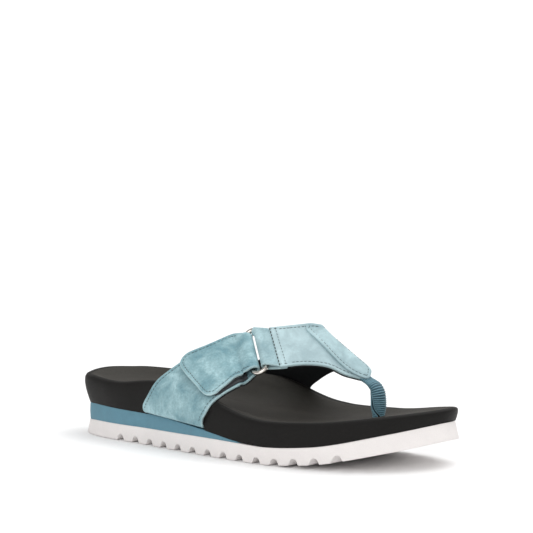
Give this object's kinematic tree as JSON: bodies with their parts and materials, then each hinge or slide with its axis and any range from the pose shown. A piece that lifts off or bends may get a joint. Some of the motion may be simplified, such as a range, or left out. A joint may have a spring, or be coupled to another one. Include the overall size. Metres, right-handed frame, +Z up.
{
  "type": "thong sandal",
  "caption": "Right-foot toe-post sandal: notched outsole, wedge midsole, contoured footbed, suede vamp and strap joined by an oval ring and a hook-and-loop tab.",
  "frame": {"origin": "centre of the bounding box in plan, on the floor under the outsole", "axes": "+X from the heel to the toe, +Y to the inner side of the foot, +Z up"},
  "size_m": [0.2602, 0.0922, 0.0759],
  "materials": {
    "outsole": "fine-grained off-white moulded rubber",
    "midsole": "smooth matt blue EVA foam",
    "footbed_foam": "dark grey polyurethane foam",
    "footbed_cover": "black microfibre with a fine leather grain",
    "suede": "light teal nubuck suede, softly mottled",
    "lining": "black microfibre lining",
    "hook_loop": "dark grey hook-and-loop tape",
    "webbing": "ribbed teal-blue woven webbing",
    "post_core": "black moulded rubber",
    "ring_metal": "polished nickel-plated steel"
  },
  "bodies": {
    "sandal": {"outsole": "outsole", "midsole_wedge": "midsole", "footbed_core": "footbed_foam", "footbed_cover": "footbed_cover", "lateral_strap": "suede", "lateral_strap_lining": "lining", "loop_tape": "hook_loop", "strap_fold": "suede", "ring_keeper": "suede", "vamp": "suede", "vamp_lining": "lining", "overlay": "suede", "toe_post_webbing": "webbing", "toe_post_core": "post_core", "toe_post_anchor": "post_core"},
    "tab": {"closure_tab": "suede", "hook_tape": "hook_loop"},
    "ring_body": {"ring": "ring_metal"}
  },
  "joints": [
    {"name": "tab_peel", "type": "hinge", "parent": "sandal", "child": "tab", "pos_m": [0.00483, -0.01429, 0.05719], "axis": [-0.6279, 0.53, 0.5699], "range_deg": [0, 95], "deforming": ["strap_fold"]},
    {"name": "ring_rock", "type": "hinge", "parent": "sandal", "child": "ring_body", "pos_m": [0.01166, -0.01008, 0.06081], "axis": [0.6279, -0.53, -0.5699], "range_deg": [-3.5, 3.5]}
  ]
}
